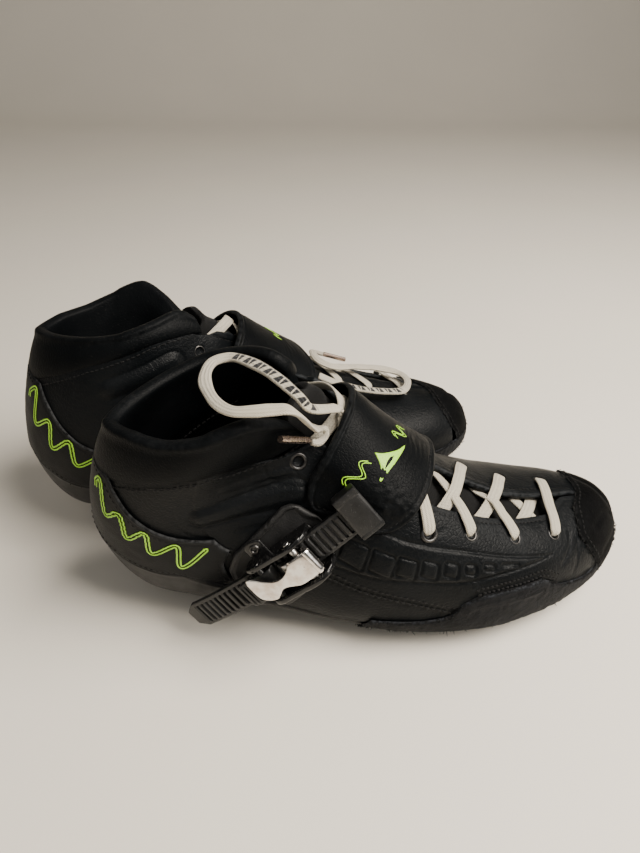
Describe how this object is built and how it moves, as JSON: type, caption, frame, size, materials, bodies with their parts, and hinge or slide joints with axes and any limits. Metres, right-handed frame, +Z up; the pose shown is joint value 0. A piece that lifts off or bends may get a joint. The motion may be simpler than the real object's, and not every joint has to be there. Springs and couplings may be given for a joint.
{
  "type": "speed skating boots",
  "caption": "Pair of low-cut black leather speed-skate boots with flat laces, an instep strap with ratchet buckle, a composite sole shell and frame mounting blocks.",
  "frame": {"origin": "centre of the pair's footprint, on the floor plane", "axes": "+X towards the toes, +Y from the right boot towards the left boot, +Z up"},
  "size_m": [0.3435, 0.2267, 0.145],
  "materials": {
    "leather": "smooth black coated leather, fine grain, low sheen",
    "leather_soft": "soft padded black leather with fine creases",
    "suede": "scuffed black split leather with frayed edges",
    "suede_panel": "matt black heel panel with a bright green line motif",
    "lining": "black woven lining",
    "composite": "black moulded composite, scuffed gloss",
    "rubber": "ribbed black rubber",
    "plastic": "black nylon, satin",
    "plastic_gloss": "black glossy nylon",
    "lace": "cream woven flat lace with a dark dashed stripe",
    "aglet": "dull metal crimp",
    "chrome": "worn chrome plate",
    "steel": "plain steel"
  },
  "bodies": {
    "root": {"right_sole_shell": "composite", "right_front_mount_block": "composite", "right_rear_mount_block": "composite", "right_front_mount_insert": "steel", "right_rear_mount_insert": "steel", "right_quarter_lateral": "leather", "right_quarter_medial": "leather", "right_toe_cap": "suede", "right_heel_counter": "suede_panel", "right_toe_bumper": "suede", "right_collar": "leather_soft", "right_lining": "lining", "right_insole": "lining", "right_tongue": "lining", "right_eyelet_stay": "lining", "right_lacing": "lace", "right_lace_bow": "lace", "right_lace_aglet": "aglet", "right_instep_strap": "leather_soft", "right_strap_keeper": "plastic", "right_strap_anchor": "plastic", "right_buckle_plate": "rubber", "right_buckle_housing": "plastic_gloss", "right_base_rivet": "steel", "right_lever_pin": "steel", "right_lever_spring": "steel"},
    "left_boot": {"left_sole_shell": "composite", "left_front_mount_block": "composite", "left_rear_mount_block": "composite", "left_front_mount_insert": "steel", "left_rear_mount_insert": "steel", "left_quarter_lateral": "leather", "left_quarter_medial": "leather", "left_toe_cap": "suede", "left_heel_counter": "suede_panel", "left_toe_bumper": "suede", "left_collar": "leather_soft", "left_lining": "lining", "left_insole": "lining", "left_tongue": "lining", "left_eyelet_stay": "lining", "left_lacing": "lace", "left_lace_bow": "lace", "left_lace_aglet": "aglet", "left_instep_strap": "leather_soft", "left_strap_keeper": "plastic", "left_strap_anchor": "plastic", "left_buckle_plate": "rubber", "left_buckle_housing": "plastic_gloss", "left_base_rivet": "steel", "left_lever_pin": "steel", "left_lever_spring": "steel"},
    "right_lever": {"right_lever": "chrome"},
    "right_pawl": {"right_drive_pawl": "steel"},
    "right_latch": {"right_release_latch": "plastic"},
    "right_ladder": {"right_ladder_strap": "plastic"},
    "left_lever": {"left_lever": "chrome"},
    "left_pawl": {"left_drive_pawl": "steel"},
    "left_latch": {"left_release_latch": "plastic"},
    "left_ladder": {"left_ladder_strap": "plastic"}
  },
  "joints": [
    {"name": "left_boot_lift", "type": "slide", "parent": "root", "child": "left_boot", "axis": [0, 0, 1], "range_m": [0, 0.15]},
    {"name": "right_lever_hinge", "type": "hinge", "parent": "root", "child": "right_lever", "pos_m": [-0.00667, -0.10582, 0.06911], "axis": [-0.6384, 0.1854, 0.747], "range_deg": [0, 50]},
    {"name": "right_pawl_hinge", "type": "hinge", "parent": "right_lever", "child": "right_pawl", "pos_m": [-0.01128, -0.10598, 0.06521], "axis": [-0.6384, 0.1854, 0.747], "range_deg": [0, 12], "stiffness_Nm_per_rad": 0.02, "springref_deg": -20.05},
    {"name": "right_latch_hinge", "type": "hinge", "parent": "root", "child": "right_latch", "pos_m": [-0.02128, -0.10616, 0.0567], "axis": [-0.6384, 0.1854, 0.747], "range_deg": [-8, 0], "stiffness_Nm_per_rad": 0.02, "springref_deg": 20.05},
    {"name": "right_ladder_feed", "type": "hinge", "parent": "root", "child": "right_ladder", "pos_m": [-0.00452, 0.07588, 0.02584], "axis": [0.6384, -0.1854, -0.747], "range_deg": [-1, 2.5]},
    {"name": "left_lever_hinge", "type": "hinge", "parent": "left_boot", "child": "left_lever", "pos_m": [-0.09016, 0.07845, 0.06911], "axis": [0.5048, 0.4326, -0.747], "range_deg": [0, 50]},
    {"name": "left_pawl_hinge", "type": "hinge", "parent": "left_lever", "child": "left_pawl", "pos_m": [-0.09442, 0.07669, 0.06521], "axis": [0.5048, 0.4326, -0.747], "range_deg": [0, 12], "stiffness_Nm_per_rad": 0.02, "springref_deg": -20.05},
    {"name": "left_latch_hinge", "type": "hinge", "parent": "left_boot", "child": "left_latch", "pos_m": [-0.10361, 0.07272, 0.0567], "axis": [0.5048, 0.4326, -0.747], "range_deg": [-8, 0], "stiffness_Nm_per_rad": 0.02, "springref_deg": 20.05},
    {"name": "left_ladder_feed", "type": "hinge", "parent": "left_boot", "child": "left_ladder", "pos_m": [-0.01314, -0.08614, 0.02584], "axis": [-0.5048, -0.4326, 0.747], "range_deg": [-1, 2.5]}
  ]
}
